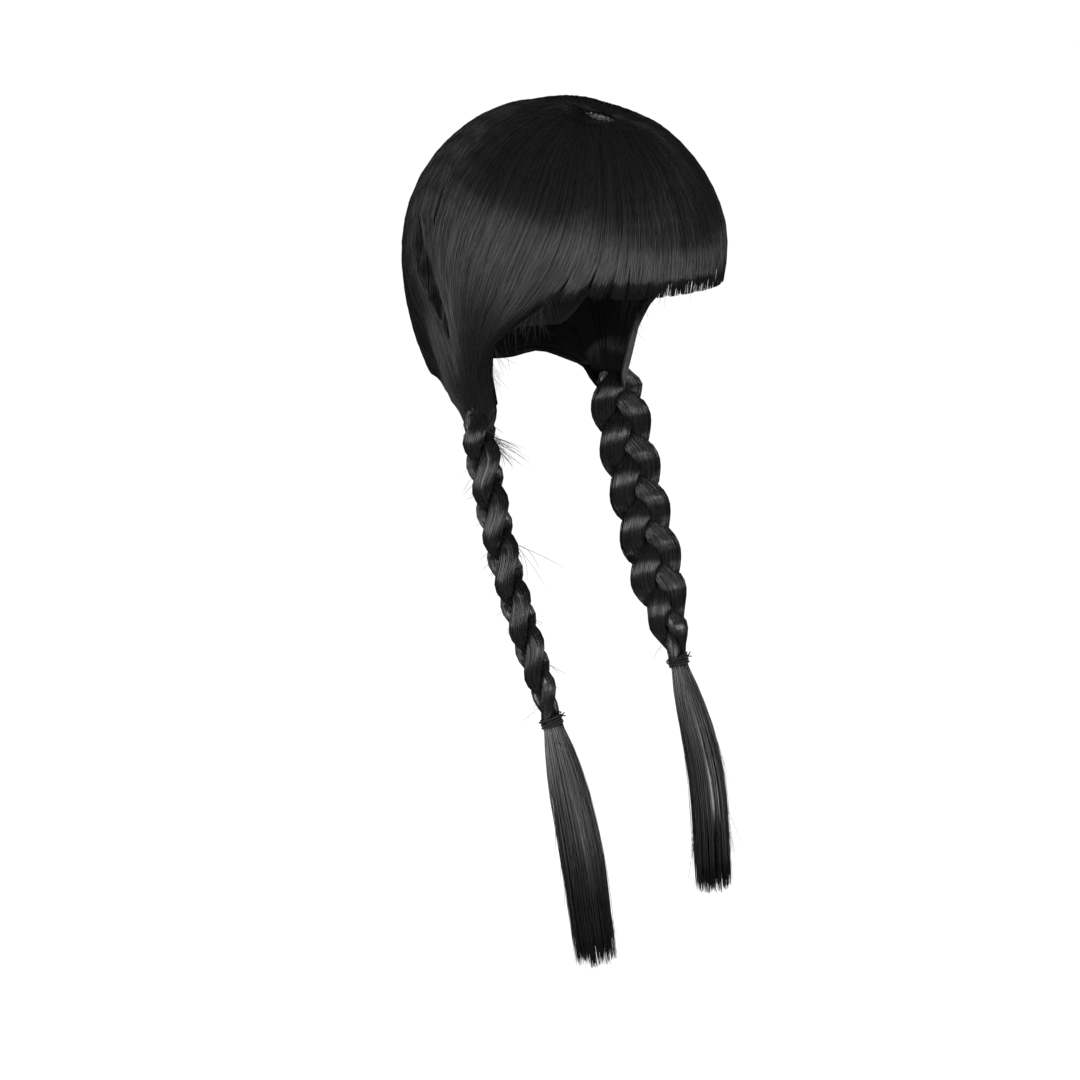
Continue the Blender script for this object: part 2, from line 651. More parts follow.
def effect_unevenness():
    tree, given, result = new_effect("slow_unevenness", {"Patches per m": 40}, ("Mask",))
    place = add(tree, "ShaderNodeTexCoord").outputs["Object"]
    noise = add(tree, "ShaderNodeTexNoise", {"Vector": place, "Scale": given["Patches per m"], "Detail": 3})
    spread = add(tree, "ShaderNodeMapRange", {"Value": noise.outputs[0], "From Min": 0.35, "From Max": 0.65})
    tree.links.new(spread.outputs[0], result["Mask"])
    return tree


fibre_lines, crossed_threads, slow_unevenness = effect_fibres(), effect_threads(), effect_unevenness()
print("shared effects:", [group.name for group in bpy.data.node_groups])

# %% [markdown]
# ## Four materials
# The hair is a straight, glossy fibre that is almost black: nearly all that one sees of it is
# reflected light. Its shine could be an anisotropic shader, but the strands are real and round
# here, so a plain gloss already stretches across them. The cord of the ties is matt and spun, the
# cap a stretch net, and the crown patch a dark grey woven base that the hairs are knotted into.

# %% Make the materials
def new_material(name, rough, specular=0.5, sheen=0.0):
    material = bpy.data.materials.new(name)
    material.use_nodes = True
    tree = material.node_tree
    shader = tree.nodes["Principled BSDF"]
    shader.inputs["Roughness"].default_value = rough
    shader.inputs["Specular IOR Level"].default_value = specular
    shader.inputs["Sheen Weight"].default_value = sheen
    return material, tree, shader


def place_effect(tree, group, **values):
    node = add(tree, "ShaderNodeGroup", node_tree=group)
    for label, value in values.items():
        node.inputs[label.replace("_", " ")].default_value = value
    return node.outputs


def blended(tree, share, low, high):
    mix = add(tree, "ShaderNodeMix", {0: share, 6: (*low, 1) if isinstance(low, tuple) else low, 7: (*high, 1)},
              data_type="RGBA")
    return mix.outputs[2]


def raised(tree, shader, height, depth_mm, strength):
    bump = add(tree, "ShaderNodeBump", {"Height": height, "Strength": strength, "Distance": depth_mm * MM})
    tree.links.new(bump.outputs[0], shader.inputs["Normal"])


def hair_material(name, dark, light, brown, rough, brown_share, gloss, ior=1.5, pressed=1):
    material, tree, shader = new_material(name, rough, specular=gloss)
    shader.inputs["IOR"].default_value = ior
    fibres = place_effect(tree, fibre_lines, Fibres_per_mm=7, Run_mm=45)
    shade = add(tree, "ShaderNodeAttribute", attribute_name="shade").outputs["Fac"]
    run = add(tree, "ShaderNodeAttribute", attribute_name="run").outputs["Fac"]
    tone = math_node(tree, "MULTIPLY", math_node(tree, "ADD", fibres["Tone"], shade), 0.5)
    tip = add(tree, "ShaderNodeMapRange", {"Value": run, "From Min": 0.92, "From Max": 1, "To Max": brown_share})
    colour = blended(tree, tip.outputs[0], blended(tree, tone, dark, light), brown)
    tree.links.new(colour, shader.inputs["Base Color"])
    lit = add(tree, "ShaderNodeMapRange",
              {"Value": shade, "From Min": -0.5, "From Max": 0, "To Min": 0, "To Max": gloss})
    held = add(tree, "ShaderNodeMapRange", {"Value": run, "From Max": 0.45, "To Min": pressed, "To Max": 1})
    shine = math_node(tree, "MULTIPLY", lit.outputs[0], held.outputs[0])
    tree.links.new(shine, shader.inputs["Specular IOR Level"])
    spread = add(tree, "ShaderNodeMapRange", {"Value": tone, "To Min": rough - 0.07, "To Max": rough + 0.07})
    tree.links.new(spread.outputs[0], shader.inputs["Roughness"])
    raised(tree, shader, fibres["Height"], 0.06, 0.35)
    return material


def thread_material(name, threads, gaps, rough, pitch, slant, depth_mm, sheen, specular=0.3):
    material, tree, shader = new_material(name, rough, specular=specular, sheen=sheen)
    weave = place_effect(tree, crossed_threads, Pitch_mm=pitch, Slant=slant)
    patches = place_effect(tree, slow_unevenness, Patches_per_m=60)
    worn = tuple(1.5 * channel for channel in threads)
    colour = blended(tree, weave["Gap"], blended(tree, patches["Mask"], threads, worn), gaps)
    tree.links.new(colour, shader.inputs["Base Color"])
    raised(tree, shader, weave["Height"], depth_mm, 0.8)
    return material


BLACK, SOFT_BLACK, BROWN = (0.0042, 0.004, 0.004), (0.0115, 0.011, 0.0105), (0.03, 0.02, 0.013)
hair = hair_material("combed_hair", BLACK, SOFT_BLACK, BROWN, 0.26, 0.08, 0.6)
tight = hair_material("tight_hair", BLACK, SOFT_BLACK, BROWN, 0.28, 0.08, 1.0, 1.54)
tail_hair = hair_material("tail_hair", BLACK, SOFT_BLACK, BROWN, 0.28, 0.08, 1.0, 1.54, 2.4)
loose = hair_material("loose_hair", (0.005, 0.0045, 0.004), (0.012, 0.01, 0.0085), (0.035, 0.024, 0.015), 0.4, 0.8, 0.5)
cord = thread_material("tie_cord", (0.011, 0.011, 0.011), (0.003, 0.003, 0.003), 0.6, 0.7, 0.6, 0.12, 0.05)
net = thread_material("cap_net", (0.009, 0.0088, 0.0088), (0.0025, 0.0025, 0.0025), 0.8, 2.2, 0.8, 0.25, 0.0, 0.08)
woven = thread_material("woven_base", (0.014, 0.014, 0.015), (0.005, 0.005, 0.005), 0.7, 1.7, 1.0, 0.3, 0.1)
knotted = thread_material("knot_thread", (0.17, 0.17, 0.18), (0.03, 0.03, 0.03), 0.6, 0.4, 1.0, 0.1, 0.1)
print("materials:", [material.name for material in bpy.data.materials])

# %% [markdown]
# ## The bodies under the strands
# On the wig, rows of wefts fill each section with hair. Combing every hair through the whole depth
# would take millions, so each section has a body: a closed sheet just under its outer strands, of
# the same hair material. It stops light from coming through and the strands do the rest.

# %% Bodies of the sections
BODY_SINK = 1.1
SECTION_WIDTH_MM = 120
SECTION_LENGTH_MM = 250


def section_body(section, columns, rows, last, closing, sunk):
    across, along = np.meshgrid(np.linspace(0.006, 0.994, columns), np.linspace(0, last, rows))
    outer, _ = surface(section, across, along, -BODY_SINK - sunk * smoothstep(along, last - closing, last))
    inner = over_scalp(section.field(across, along), HAIR_BASE + 0 * across)
    thin = np.linalg.norm(outer - inner, axis=-1, keepdims=True) < 0.3
    outer = np.where(thin, inner + 0.3 * scalp_normal(section.field(across, along)), outer)
    millimetres = np.stack([across * SECTION_WIDTH_MM, along * SECTION_LENGTH_MM], -1)
    return np.stack([outer, inner]), np.stack([millimetres, millimetres])


def mirrored_body(grid, millimetres, side):
    return sheet_arrays(on_side(side, grid)[0], millimetres)


print("a body lies", BODY_SINK, "mm under its strands")

# %% [markdown]
# ## Strands over a section
# Hair that is combed lies in locks: a few dozen strands keep together, a little above or below the
# next ones, and drift very slightly from side to side. Each strand gets a place across the
# section, a lock, a depth in it and a slow drift, and follows the combing lines down.

# %% Comb a section
STRAND_WIDTH = 0.56
STRAND_THICKNESS = 0.34
TEETH = 64


def locks_of(places, mean_width, rng):
    """Shares out strands over locks of uneven width: each one's lock, and its place in the lock."""
    edges = np.cumsum(rng.uniform(0.4, 1.6, int(2 / mean_width)) * mean_width) - mean_width
    edges = np.concatenate([[-0.01], edges[(edges > 0) & (edges < 1 - mean_width / 2)], [1.01]])
    lock = np.clip(np.searchsorted(edges, places) - 1, 0, len(edges) - 2)
    middle, half = (edges[1:] + edges[:-1]) / 2, np.diff(edges) / 2
    return lock, middle[lock], (places - middle[lock]) / half[lock], len(middle)


def comb(section, count, steps, rng, lock_width, last=1.0, drift=0.004, stray=(0.012, 0.012), pinch=(0, 0), cut=(0, 0, 0)):
    """Paths over a section and the ways out from the head. Strands stray over the section's edges.
    For cut ends, locks are drawn together by pinch, more so near the section's edges, and cut says
    how many millimetres a lock, its edges and a strand are shorter than the rest. Each lock ends
    in a few teeth."""
    places = (np.arange(count) + rng.random(count)) / count
    lock, middle, inside, locks = locks_of(places, lock_width, rng)
    pointed = smoothstep(np.abs(2 * middle - 1), 0.5, 0.85) * (pinch[1] > 0)
    shorter = rng.uniform(0, cut[0], locks)[lock] * (1 + pointed)
    shorter = shorter + cut[1] * (1 + pointed) * inside**2 + np.abs(rng.normal(0, cut[2] + 1e-9, count))
    tooth = places * TEETH + 0.3 * np.sin(places * 90)
    taller = rng.uniform(0.1, 1, TEETH + 3)[tooth.astype(int) + 1] * (pinch[1] > 0) * (1.5 + 6 * pointed)
    shorter = shorter + taller * np.abs(2 * (tooth % 1) - 1) ** 1.5
    begin = rng.uniform(0, 0.015, count)[:, None]
    end = (last - shorter / (CROWN_HEIGHT + HEAD_HALF_LENGTH))[:, None]
    along = lerp(begin, end, np.linspace(0, 1, steps))
    phase, waves = rng.uniform(0, 2 * math.pi, (2, count, 1)), rng.uniform(0.6, 1.8, (2, count, 1))
    sway = drift * rng.normal(0, 1, (count, 1)) * np.sin(phase[0] + waves[0] * along * 2 * math.pi)
    drawn = lerp(*pinch, rng.random(locks) ** 3)[lock] + 0.16 * pointed
    drawn = 1 - drawn[:, None] * smoothstep(along, lerp(0.84, 0.76, pointed)[:, None], 1)
    loosened = rng.normal(0, 0.003, (count, 1)) * (pinch[1] > 0) * smoothstep(along, 0.85, 1)
    across = middle[:, None] + (places - middle)[:, None] * drawn + sway * np.minimum(1, along * 4) + loosened
    across = lerp(-stray[0], 1 + stray[1], np.clip(across, 0, 1))
    lift = rng.normal(0, 0.14, locks)[lock] - 0.22 * np.abs(inside) ** 3
    buried = -0.9 * rng.random(count) ** 3
    ripple = 0.08 * np.sin(phase[1] + waves[1] * along * 2 * math.pi)
    offset = (lift + buried)[:, None] * smoothstep(along, 0, 0.2) + ripple
    offset = offset + 2.6 * (pinch[1] > 0) * np.clip((along - 0.8) / 0.2, 0, 1) ** 2
    paths, outwards = surface(section, across, along, offset)
    return paths, outwards, along


def fitting_width(section, along, rng):
    """Strands are drawn finer where their section is narrow."""
    widest = section_width(section, np.linspace(0, 1, 30)).max()
    fit = np.clip(np.sqrt(section_width(section, along) / widest), 0.4, 1)
    return STRAND_WIDTH * fit * rng.uniform(0.6, 1.25, (len(along), 1))


print("a strand is about", STRAND_WIDTH, "mm wide")

# %% [markdown]
# ## The fringe
# The fringe is cut blunt above the brows, but its ends never make one line: locks draw together as
# they fall, so that small gaps open between them, and in every lock some hairs are shorter. One
# could cut a straight wall and add noise; here each lock gets its own cut, and each strand too.

# %% Comb the fringe
def comb_fringe():
    rng = np.random.default_rng(11)
    paths, outwards, along = comb(
        fringe_section, 1650, 13, rng, 1 / 19, last=1.018, drift=0.003, pinch=(0.02, 0.42), cut=(3, 2.4, 1.2))
    width = fitting_width(fringe_section, along, rng)
    strands = strand_arrays(paths, outwards, width, STRAND_THICKNESS, rng, tip=0.45, taper_from=0.93)
    body = sheet_arrays(*section_body(fringe_section, 46, 22, 0.94, 0.06, GATHER_DEPTH))
    piece = make_piece("fringe_hair", *joined(body, strands), hair, "hair")
    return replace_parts(piece, "fringe")


fringe_hair = comb_fringe()
print("fringe:", fringe_hair["triangles"], "triangles")

# %% [markdown]
# ## The side and back hair
# The rest of the hair is drawn to the plaits. At its lower end a section is no sheet any more: it
# gathers into a rope and runs on into the plait, where its strands end out of sight. The hair that
# hangs free of the cap is seen from the inside too, so some strands also line its under side.

# %% Comb the drawn hair
INTO_PLAIT = np.array([3, 7, 12, 18, 25])
LINING_FROM = 0.45


def run_into_plait(paths, outwards):
    """Leads strands on from the end of their section into the plait below it."""
    end = np.full(1, float(ROOT_OVERRUN))
    start_middle = plait_frame(end)[0]
    middle = plait_frame(end + INTO_PLAIT)[0][None]
    drawn_in = lerp(1.04, 0.3, smoothstep(INTO_PLAIT, 4, INTO_PLAIT[-1]))[None, :, None]
    inside = middle + (paths[:, -1:] - start_middle) * drawn_in
    longer = np.concatenate([paths, inside], 1)
    for _ in range(2):
        longer[:, -6:-1] = (longer[:, -7:-2] + 2 * longer[:, -6:-1] + longer[:, -5:]) / 4
    return longer, np.concatenate([outwards, np.repeat(outwards[:, -1:], len(INTO_PLAIT), 1)], 1)


def comb_drawn(name, node, section, side, seed, count, steps, lock_width, columns, rows, stray, edges):
    rng = np.random.default_rng(seed)
    paths, outwards, along = comb(section, count, steps, rng, lock_width, drift=0.005, stray=stray)
    width = fitting_width(section, along, rng)
    width = np.concatenate([width, np.repeat(width[:, -1:], len(INTO_PLAIT), 1)], 1)
    paths, outwards = on_side(side, *run_into_plait(paths, outwards))
    order = np.arange(count) / count
    shaded = ((order < edges[0]) | (order > edges[1]))[:, None] & (along > edges[2])
    shaded = np.concatenate([shaded, np.repeat(shaded[:, -1:], len(INTO_PLAIT), 1)], 1)
    strands = strand_arrays(paths, outwards, width, STRAND_THICKNESS, rng, dim=shaded)
    lined = np.concatenate([rng.random(count // 5), rng.uniform(0.985, 1 + stray[1], 50)])
    across, share = np.meshgrid(lined, np.linspace(LINING_FROM, 1, 8), indexing="ij")
    look = section.field(across, share)
    lift = HAIR_BASE - 0.15 + 1.2 * (rng.random(across.shape[0]) * (lined > 0.98))[:, None]
    under, inwards = on_side(side, over_scalp(look, lift + 0 * across), -scalp_normal(look))
    lining = strand_arrays(under, inwards, np.ones((1, 1)), STRAND_THICKNESS, rng, dim=True)
    body = mirrored_body(*section_body(section, columns, rows, 1, 0.16, 4), side)
    piece = make_piece(name, *joined(body, strands, lining), hair, "hair")
    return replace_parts(piece, node)


drawn = [
    comb_drawn(f"side_hair_{name}_combed", f"side_hair_{name}", side_section, side, seed, 900, 17, 1 / 26, 30, 40, (0.012, 0.012), (0.05, 1, corner_share))
    for name, side, seed in (("right", -1, 21), ("left", 1, 22))
]
drawn += [
    comb_drawn(f"back_hair_{name}_combed", f"back_hair_{name}", back_section, side, seed, 800, 15, 1 / 24, 40, 34, (0.012, 0.001), (0, 0.97, 0))
    for name, side, seed in (("right", -1, 31), ("left", 1, 32))
]
print("side and back hair:", [piece["triangles"] for piece in drawn])

# %% [markdown]
# ## The plaits
# A plait's strand is a bundle of hairs that stay side by side while the bundle swings from edge to
# edge. Its body is a tube whose section is pressed flat where its neighbours lie against it, and
# its outer hairs run along that tube. So every lobe of the plait shows its hairs on a slant.

# %% Plait the hair
PRESS_GAP = 0.3
STRAND_STATIONS = 42
ABOVE_ROOT = 4
BELOW_END = 5


def plait_points(strand, length, angle, fullness, gap=PRESS_GAP):
    middle, _, width, face = plait_frame(length)
    begun = smoothstep(length, -ABOVE_ROOT, 22)
    centre = strand_middle(strand, length) * lerp(0.2, 1, begun)[..., None]
    reach = strand_reach(strand, length, angle, gap) * fullness * lerp(0.35, 1, begun)
    place = centre + np.stack([np.cos(angle), np.sin(angle)], -1) * reach[..., None]
    heart = middle + centre[..., :1] * width + centre[..., 1:] * face
    point = middle + place[..., :1] * width + place[..., 1:] * face
    return point, point - heart


def plait_strand(name, strand, side, seed):
    rng = np.random.default_rng(seed)
    length = np.linspace(-ABOVE_ROOT, PLAIT_LENGTH + BELOW_END, STRAND_STATIONS)
    stations = np.linspace(-ABOVE_ROOT, PLAIT_LENGTH + BELOW_END, 70)
    around = np.linspace(0, 2 * math.pi, 21)[:-1]
    angle, run = np.meshgrid(around, stations)
    body, _ = plait_points(strand, run, angle, 0.98)
    millimetres = np.stack([angle * PLAIT_DEPTH / 2, run], -1)
    count = 134
    home = 2 * math.pi * (np.arange(count) + rng.random(count)) / count
    drift = rng.normal(0, 0.08, (count, 1)) * np.sin(length / 28 + rng.uniform(0, 6, (count, 1)))
    lift = rng.uniform(0.99, 1.012, (count, 1)) + 0.004 * np.sin(length / 15 + rng.uniform(0, 6, (count, 1)))
    paths, outwards = plait_points(strand, length + 0 * drift, home[:, None] + drift, lift)
    wide = rng.uniform(0.9, 1.5, (count, 1)) * STRAND_WIDTH * from_table(PLAIT_FULLNESS, 1, length / PLAIT_LENGTH)
    strands = strand_arrays(*on_side(side, paths, outwards), wide, STRAND_THICKNESS, rng, roll=0.25)
    arrays = joined(sheet_arrays(on_side(side, body)[0], millimetres, closed=True), strands)
    piece = make_piece(f"plait_{name}_hair_{strand + 1}", *arrays, tight, "hair")
    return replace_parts(piece, f"plait_{name}_strand_{strand + 1}")


plaits = [
    plait_strand(name, strand, side, 41 + 3 * (side < 0) + strand)
    for name, side in (("right", -1), ("left", 1)) for strand in range(3)
]
print("plait strands:", [piece["triangles"] for piece in plaits])

# %% [markdown]
# ## The ties
# A thin black elastic is wound four times round the end of each plait, and its last turn crosses
# the others before its knot. A ring with grooves would do from afar. A tube along the real path of
# the cord also shows how the turns lean and where they cross.

# %% Wind the ties
TIE_TOP = PLAIT_LENGTH + CLEARANCE
TIE_HEIGHT = 7.5
NECK_RADIUS = 5.6
CORD_RADIUS = 0.52
TIE_TURNS = 4


def tube(paths, outwards, radius, sides):
    """A round cord along one path, as a closed grid with map coordinates in millimetres."""
    way = unit(np.gradient(paths, axis=0))
    outwards = unit(outwards - way * (outwards * way).sum(-1, keepdims=True))
    side = np.cross(way, outwards)
    angle = np.linspace(0, 2 * math.pi, sides + 1)[:-1][None, :, None]
    ring = outwards[:, None] * np.cos(angle) + side[:, None] * np.sin(angle)
    grid = paths[:, None] + ring * np.reshape(radius, (-1, 1, 1))
    run = np.concatenate([[0], np.cumsum(np.linalg.norm(np.diff(paths, axis=0), axis=1))])
    across = np.broadcast_to(angle[..., 0] * np.mean(radius), grid.shape[:2])
    return grid, np.stack([across, np.broadcast_to(run[:, None], grid.shape[:2])], -1)


def around_neck(turn, down_share, out):
    """A point round the neck of hair in a tie: turns round, a share down the tie, and how far out."""
    middle, down, width, face = plait_frame(np.full_like(turn, TIE_TOP + TIE_HEIGHT / 2))
    angle = 2 * math.pi * turn[:, None]
    outwards = width * np.cos(angle) + face * np.sin(angle)
    drop = (down_share - 0.5) * (TIE_HEIGHT - 2 * CORD_RADIUS)
    return middle + down * drop[:, None] + outwards * out[:, None], outwards


def wind_tie(name, side, seed, knot):
    """The cord of one tie; its knot lies at some share of a turn round the neck of hair."""
    rng = np.random.default_rng(seed)
    ring = NECK_RADIUS + CLEARANCE + CORD_RADIUS
    turn = np.linspace(knot, TIE_TURNS + knot, 30 * TIE_TURNS)
    lean = -0.12 * np.cos(2 * math.pi * (turn - knot)) + 0.03 * np.sin(2 * math.pi * turn * 1.7 + rng.uniform(0, 6))
    wound = around_neck(turn, 0.06 + 0.9 * (turn - knot) / TIE_TURNS + lean, ring + 0.15 * np.sin(5.3 * turn))
    back = np.linspace(TIE_TURNS + knot, TIE_TURNS + knot + 0.9, 26)
    rise = lerp(0.84, 0.1, smoothstep(back, back[2], back[-2]))
    crossing = around_neck(back, rise, ring + 1.1 * np.sin(np.linspace(0.05, 1, 26) * math.pi * 0.6))
    parts = []
    for path, outwards in (wound, crossing):
        parts.append(tube(*on_side(side, path, outwards), CORD_RADIUS, 8))
    for tilt in (0.3, -0.9):
        turns = np.full(7, knot) + np.linspace(0, 0.05 * tilt, 7)
        out = ring + np.linspace(0, 2.6, 7)
        end, outwards = around_neck(turns, 0.3 + tilt * np.linspace(0, 0.35, 7), out)
        _, along_cord = around_neck(turns + 0.25, 0 * turns, out)
        parts.append(tube(*on_side(side, end, along_cord), CORD_RADIUS * np.linspace(0.95, 0.6, 7), 8))
    arrays = joined(*(sheet_arrays(*part, closed=True) for part in parts))
    piece = make_piece(f"tie_{name}_cord", *arrays, cord, "tie")
    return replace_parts(piece, f"hair_tie_{name}")


ties = [wind_tie("right", -1, 51, 0.24), wind_tie("left", 1, 52, 0.04)]
print("ties:", [piece["triangles"] for piece in ties])

# %% [markdown]
# ## The tails
# Below its tie each plait ends in a loose brush of hair. It flares out of the tie, hangs straight
# and is cut off blunt, but never evenly: its locks taper, and single hairs stand off. Each strand
# keeps its place in the round section of the tail, and the section widens on its way down.

# %% Hang the tails
TAIL_WIDTH = 24.5
TAIL_DEPTH = 27
TAIL_START = 2 * CLEARANCE + TIE_HEIGHT
NECK_SHARE = 0.43
FLARE_SHARE = 0.2


def tail_points(below_tie, sideways, outwards):
    """A place in the left tail, given as shares of half its width and half its depth."""
    middle, _, width, face = plait_frame(PLAIT_LENGTH + TAIL_START + below_tie)
    flare = np.exp(-np.maximum(below_tie, 0) / (TAIL_LENGTH - TAIL_START) / FLARE_SHARE)
    full = lerp(1, NECK_SHARE, flare)
    off = width * (sideways * full * TAIL_WIDTH / 2)[..., None] + face * (outwards * full * TAIL_DEPTH / 2)[..., None]
    return middle + off, off


def hang_tail(name, side, seed):
    rng = np.random.default_rng(seed)
    count, steps = 880, 11
    angle = 2 * math.pi * rng.random(count)
    out = rng.random(count) ** 0.32
    lock = (angle / (2 * math.pi) * 15).astype(int)
    lock_angle = 2 * math.pi * (lock + 0.5) / 15
    clump = rng.uniform(0.0, 0.35, 15)[lock][:, None]
    cut = rng.uniform(0, 4, 15)[lock] + np.abs(rng.normal(0, 3.6, count)) + 2.5 * (1 - out)
    length = (TAIL_LENGTH - TAIL_START - cut)[:, None]
    share = np.linspace(0, 1, steps)[None]
    below = lerp(-TAIL_START + 1.5, length, share**1.25)
    bend = lerp(angle[:, None], lock_angle[:, None], clump * smoothstep(share, 0.35, 1))
    wave = 0.05 * rng.normal(0, 1, (count, 1)) * np.sin(share * rng.uniform(2, 7, (count, 1)) + rng.uniform(0, 6, (count, 1)))
    ray = out[:, None] * (1 - 0.25 * clump * smoothstep(share, 0.6, 1)) + wave * smoothstep(share, 0, 0.4)
    paths, off = tail_points(below, ray * np.cos(bend), ray * np.sin(bend))
    wide = STRAND_WIDTH * rng.uniform(0.6, 1.15, (count, 1)) * lerp(0.75, 1, smoothstep(share, 0, 0.3))
    strands = strand_arrays(*on_side(side, paths, off), wide, STRAND_THICKNESS, rng, tip=0.3, taper_from=0.85)
    around, down = np.meshgrid(np.linspace(0, 2 * math.pi, 25)[:-1], np.linspace(-TAIL_START + 1, 0.86 * TAIL_LENGTH, 24))
    thin = 0.9 * (1 - 0.6 * smoothstep(down, 0.6 * TAIL_LENGTH, 0.86 * TAIL_LENGTH))
    body, _ = tail_points(down, thin * np.cos(around), thin * np.sin(around))
    millimetres = np.stack([around * TAIL_WIDTH / 2, down], -1)
    arrays = joined(sheet_arrays(on_side(side, body)[0], millimetres, closed=True), strands)
    piece = make_piece(f"tail_{name}_hair", *arrays, tail_hair, "hair")
    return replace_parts(piece, f"tail_{name}")


tails = [hang_tail("right", -1, 61), hang_tail("left", 1, 62)]
print("tails:", [piece["triangles"] for piece in tails])

# %% [markdown]
# ## The cap and the crown patch
# Inside is a thin cap of stretch net with a firmer band round its rim, which rows of wefts are
# sewn to. Where the hair is combed from, a small woven base shows, with each hair knotted into it.
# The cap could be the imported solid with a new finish, but its flat facets would show from below.

# %% Sew the cap and the patch
CAP_RIM = [(0, 0.82), (0.25, 0.86), (0.42, 1.3), (0.55, 1.22), (0.72, 1.66), (1, 1.72)]
RIM_BAND = 0.9
WEFT_PITCH = 9.0


def sew_cap():
    turns = np.linspace(0, 1, 97)[:-1]
    azimuths = turns * 360
    from_face = np.where(azimuths > 180, 360 - azimuths, azimuths) / 180
    levels = from_table(CAP_RIM, 1, from_face) * CROWN_HEIGHT
    rims = np.array([drop_at_level(a, level, 0.0) for a, level in zip(azimuths, levels)])
    shares = np.concatenate([[0.001], np.linspace(0.03, 0.93, 60), [0.945, 0.96, 0.985, 1]])
    drops = shares[:, None] * rims[None]
    look = direction(azimuths[None] + 0 * drops, drops)
    band = smoothstep(shares, 0.93, 0.96)[:, None]
    weft = np.abs(np.sin(math.pi * np.radians(drops) * CROWN_HEIGHT / WEFT_PITCH)) ** 8 * (1 - band)
    outer = over_scalp(look, CAP_THICKNESS + (RIM_BAND - CAP_THICKNESS / 2) * band * 0.6 + 0 * drops)
    inner = over_scalp(look, 0.05 - 0.35 * weft - 0.35 * band + 0 * drops)
    grid = np.concatenate([outer, inner[::-1]])
    millimetres = np.stack([azimuths[None] * 1.4 + 0 * drops, np.radians(drops) * CROWN_HEIGHT], -1)
    piece = make_piece(
        "cap_net", *sheet_arrays(grid, np.concatenate([millimetres, millimetres[::-1]]), closed=True), net, "cap")
    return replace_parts(piece, "wig_cap")


def sew_patch():
    """A low woven dome on the crown, and the stubs of the hairs that are knotted into it."""
    rng = np.random.default_rng(71)
    low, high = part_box("crown_patch")
    middle = np.array((low + high) / 2) / MM
    normal = scalp_normal(whorl)
    ahead = unit(np.cross((1.0, 0, 0), normal))
    turn = np.linspace(0, 2 * math.pi, 49)[:-1][None, :, None]
    ray = np.array((1.0, 0, 0)) * np.cos(turn) + ahead * np.sin(turn)
    radius = PATCH_RADIUS * np.array([0.01, 0.2, 0.4, 0.6, 0.8, 0.95, 1, 0.97, 0.5, 0.01])[:, None, None]
    rise = PATCH_THICKNESS * np.array([1.1, 1.05, 0.9, 0.75, 0.6, 0.45, 0, -0.45, -0.5, -0.5])[:, None, None]
    grid = middle + ray * radius + normal * rise
    millimetres = np.concatenate([(ray * radius)[..., :1], (ray * radius) @ ahead[:, None]], -1)
    base = make_piece("crown_patch_woven", *sheet_arrays(grid, millimetres, closed=True), woven, "patch")
    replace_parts(base, "crown_patch")
    count = 85
    spiral = (np.arange(count) * 2.39996)[:, None, None]
    out = PATCH_RADIUS * 0.95 * (rng.random((count, 1, 1)) ** 0.7)
    centre = middle + out * (np.array((1.0, 0, 0)) * np.cos(spiral) + ahead * np.sin(spiral))
    lean = unit(rng.normal(0, 1, (count, 1, 1)) * np.array((1.0, 0, 0)) + rng.normal(0, 1, (count, 1, 1)) * ahead)
    paths = centre + lean * np.array([-0.5, 0, 0.5])[None, :, None] + normal * PATCH_THICKNESS * 0.8
    size = lerp(0.3, 1.7, rng.random((count, 1)) ** 1.6)
    lumps = strand_arrays(paths, normal + 0 * paths, size, 0.5, rng)
    knots = make_piece("crown_knots", *lumps, knotted, "patch")
    count = 480
    turn = 2 * math.pi * rng.random((count, 1, 1))
    ray = np.array((1.0, 0, 0)) * np.cos(turn) + ahead * np.sin(turn)
    start = PATCH_RADIUS * np.sqrt(rng.uniform(0.1, 1, (count, 1, 1)))
    share = np.linspace(0, 1, 5)[None, :, None]
    length = rng.uniform(3, 8, (count, 1, 1))
    lift = np.sin(share * math.pi * 0.8) * rng.uniform(0.2, 0.9, (count, 1, 1)) + 0.5 * PATCH_THICKNESS
    paths = middle + ray * (start + length * share) + normal * (lift - 0.2 * share)
    strands = strand_arrays(paths, normal + 0 * paths, np.full((1, 1), 0.28), STRAND_THICKNESS, rng)
    return base, knots, make_piece("crown_knotted_hairs", *strands, loose, "hair")


sewn = [sew_cap(), *sew_patch()]
print("cap and patch:", [piece["triangles"] for piece in sewn])

# %% [markdown]
# ## Loose hairs
# A brushed wig sheds order: short hairs along the temples curl out of the hem, a few spring from
# the plaits, and single ones stand off the tails. They are thinner than the combed strands. Each
# leaves its place on the hair in some direction, and bends down as it goes.

# %% Scatter the loose hairs
def loose_arrays(starts, ways, lengths, rng, width=0.22, fall=0.35, curl=0.25, steps=7):
    share = np.linspace(0, 1, steps)[None, :, None]
    length = np.reshape(lengths, (-1, 1, 1))
    bend = rng.normal(0, curl, (len(starts), 1, 3)) + np.array([0, 0, -fall])
    paths = starts[:, None] + length * (unit(ways)[:, None] * share + bend * share**2)
    outwards = np.cross(unit(ways), (0.3, -0.5, 0.8))[:, None] + 0 * paths
    return strand_arrays(paths, outwards, np.full((1, 1), width), 0.6, rng, tip=0.3)


